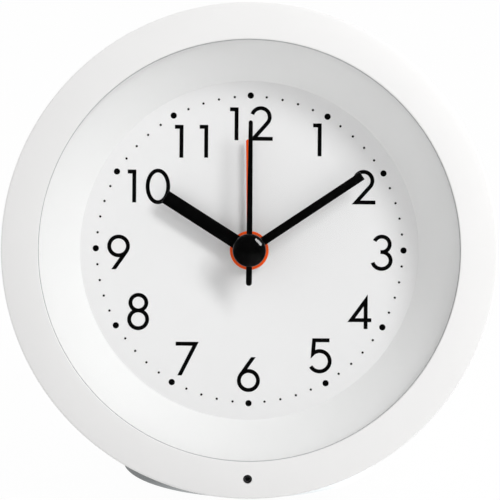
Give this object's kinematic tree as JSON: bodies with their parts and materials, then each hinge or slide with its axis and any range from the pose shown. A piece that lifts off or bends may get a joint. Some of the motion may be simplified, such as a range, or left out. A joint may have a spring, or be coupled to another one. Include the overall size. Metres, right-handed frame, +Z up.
{
  "type": "alarm clock",
  "caption": "Round analogue table alarm clock with a funnel dial, setting knobs and battery bay behind, a snooze button on top and a round foot.",
  "frame": {"origin": "centre of the foot's underside, on the table", "axes": "+Z up, the face looks along -Y and leans back, +X to the right of the face"},
  "size_m": [0.1, 0.0668, 0.1008],
  "materials": {
    "white_case": "satin moulded",
    "clear_lens": "clear polished plastic",
    "white_reflector": "matt moulded",
    "white_dial": "matt printed",
    "black_hands": "satin black",
    "orange_hand": "satin orange",
    "dark_window": "smoked, polished",
    "grey_foot": "satin silver grey",
    "rubber_pad": "matt",
    "natural_plastic": "natural moulded",
    "black_plastic": "matt moulded",
    "knob_plastic": "satin moulded",
    "wheel_plastic": "natural acetal",
    "brass_parts": "machined",
    "steel_parts": "bright",
    "copper_winding": "enamelled copper wire",
    "board_green": "solder mask",
    "battery_can": "printed sleeve",
    "lamp_lens": "milky",
    "wire_sleeve": "insulated"
  },
  "bodies": {
    "case": {"front_bezel": "white_case", "sensor_window": "dark_window", "light_sensor": "black_plastic", "lens": "clear_lens", "reflector_ring": "white_reflector", "dial": "white_dial", "chassis_plate": "natural_plastic", "rear_case": "white_case", "case_screws": "steel_parts", "battery": "battery_can", "contact_positive": "steel_parts", "contact_negative": "steel_parts", "snooze_springs": "steel_parts", "snooze_switch": "black_plastic", "alarm_switch_body": "black_plastic", "movement_housing": "natural_plastic", "movement_middle_plate": "natural_plastic", "movement_rear_plate": "natural_plastic", "movement_screws": "steel_parts", "stator_plate": "steel_parts", "coil_bobbin": "natural_plastic", "coil_winding": "copper_winding", "movement_board": "board_green", "quartz_crystal": "steel_parts", "movement_chip": "black_plastic", "alarm_contact_spring": "brass_parts", "main_board": "board_green", "board_screws": "steel_parts", "main_chip": "black_plastic", "capacitors": "black_plastic", "buzzer": "black_plastic", "buzzer_wires": "wire_sleeve", "battery_wires": "wire_sleeve", "sensor_wires": "wire_sleeve", "dial_lamps": "lamp_lens", "foot_base": "grey_foot", "foot_screws": "steel_parts", "foot_pad": "rubber_pad"},
    "second_hand_body": {"second_hand": "black_hands", "hand_cap": "black_hands", "seconds_wheel": "wheel_plastic"},
    "rotor_body": {"rotor": "steel_parts"},
    "step_wheel_body": {"step_wheel": "wheel_plastic"},
    "third_wheel_body": {"third_wheel": "wheel_plastic"},
    "centre_wheel_body": {"centre_wheel": "brass_parts"},
    "minute_hand_body": {"minute_hand": "black_hands", "cannon_pinion": "brass_parts"},
    "minute_wheel_body": {"minute_wheel": "wheel_plastic"},
    "hour_hand_body": {"hour_hand": "black_hands", "hour_wheel": "wheel_plastic"},
    "time_knob_body": {"time_set_knob": "knob_plastic", "time_set_shaft": "natural_plastic"},
    "alarm_hand_body": {"alarm_hand": "orange_hand", "alarm_wheel": "wheel_plastic"},
    "alarm_knob_body": {"alarm_set_knob": "knob_plastic", "alarm_set_shaft": "natural_plastic"},
    "snooze_button_body": {"snooze_button": "white_case"},
    "alarm_slider_body": {"alarm_switch_slider": "black_plastic"},
    "battery_cover_body": {"battery_cover": "white_case"}
  },
  "joints": [
    {"name": "second_hand_turn", "type": "hinge", "parent": "case", "child": "second_hand_body", "pos_m": [0, -0.01024, 0.04854], "axis": [0, 0.9781, -0.2079], "continuous": true},
    {"name": "rotor_turn", "type": "hinge", "parent": "case", "child": "rotor_body", "pos_m": [0.01197, -0.01068, 0.04648], "axis": [0, 0.9781, -0.2079], "continuous": true},
    {"name": "step_wheel_turn", "type": "hinge", "parent": "case", "child": "step_wheel_body", "pos_m": [0.00724, -0.0105, 0.04729], "axis": [0, 0.9781, -0.2079], "continuous": true},
    {"name": "third_wheel_turn", "type": "hinge", "parent": "case", "child": "third_wheel_body", "pos_m": [0, -0.01173, 0.0415], "axis": [0, 0.9781, -0.2079], "continuous": true},
    {"name": "centre_wheel_turn", "type": "hinge", "parent": "case", "child": "centre_wheel_body", "pos_m": [0, -0.01024, 0.04854], "axis": [0, 0.9781, -0.2079], "continuous": true},
    {"name": "minute_hand_turn", "type": "hinge", "parent": "case", "child": "minute_hand_body", "pos_m": [0, -0.01024, 0.04854], "axis": [0, 0.9781, -0.2079], "continuous": true},
    {"name": "minute_wheel_turn", "type": "hinge", "parent": "case", "child": "minute_wheel_body", "pos_m": [-0.0065, -0.00946, 0.05221], "axis": [0, 0.9781, -0.2079], "continuous": true},
    {"name": "hour_hand_turn", "type": "hinge", "parent": "case", "child": "hour_hand_body", "pos_m": [0, -0.01024, 0.04854], "axis": [0, 0.9781, -0.2079], "continuous": true},
    {"name": "time_knob_turn", "type": "hinge", "parent": "case", "child": "time_knob_body", "pos_m": [-0.01299, -0.00868, 0.05588], "axis": [0, 0.9781, -0.2079], "continuous": true},
    {"name": "alarm_hand_turn", "type": "hinge", "parent": "case", "child": "alarm_hand_body", "pos_m": [0, -0.01024, 0.04854], "axis": [0, 0.9781, -0.2079], "continuous": true},
    {"name": "alarm_knob_turn", "type": "hinge", "parent": "case", "child": "alarm_knob_body", "pos_m": [0.01299, -0.00868, 0.05588], "axis": [0, 0.9781, -0.2079], "continuous": true},
    {"name": "snooze_press", "type": "slide", "parent": "case", "child": "snooze_button_body", "axis": [0, -0.2079, -0.9781], "range_m": [0, 0.0009], "stiffness_N_per_m": 900, "deforming": ["snooze_springs"]},
    {"name": "alarm_switch_slide", "type": "slide", "parent": "case", "child": "alarm_slider_body", "axis": [1, 0, 0], "range_m": [0, 0.003]},
    {"name": "battery_cover_lift", "type": "slide", "parent": "case", "child": "battery_cover_body", "axis": [0, 0.9781, -0.2079], "range_m": [0, 0.012]}
  ],
  "couplings": [
    {"joint": "rotor_turn", "follows": "second_hand_turn", "ratio": 30},
    {"joint": "step_wheel_turn", "follows": "second_hand_turn", "ratio": -6},
    {"joint": "third_wheel_turn", "follows": "second_hand_turn", "ratio": -0.13333},
    {"joint": "centre_wheel_turn", "follows": "second_hand_turn", "ratio": 0.016667},
    {"joint": "minute_wheel_turn", "follows": "minute_hand_turn", "ratio": -0.33333},
    {"joint": "hour_hand_turn", "follows": "minute_hand_turn", "ratio": 0.083333},
    {"joint": "time_knob_turn", "follows": "minute_hand_turn", "ratio": 1},
    {"joint": "alarm_knob_turn", "follows": "alarm_hand_turn", "ratio": -4}
  ]
}
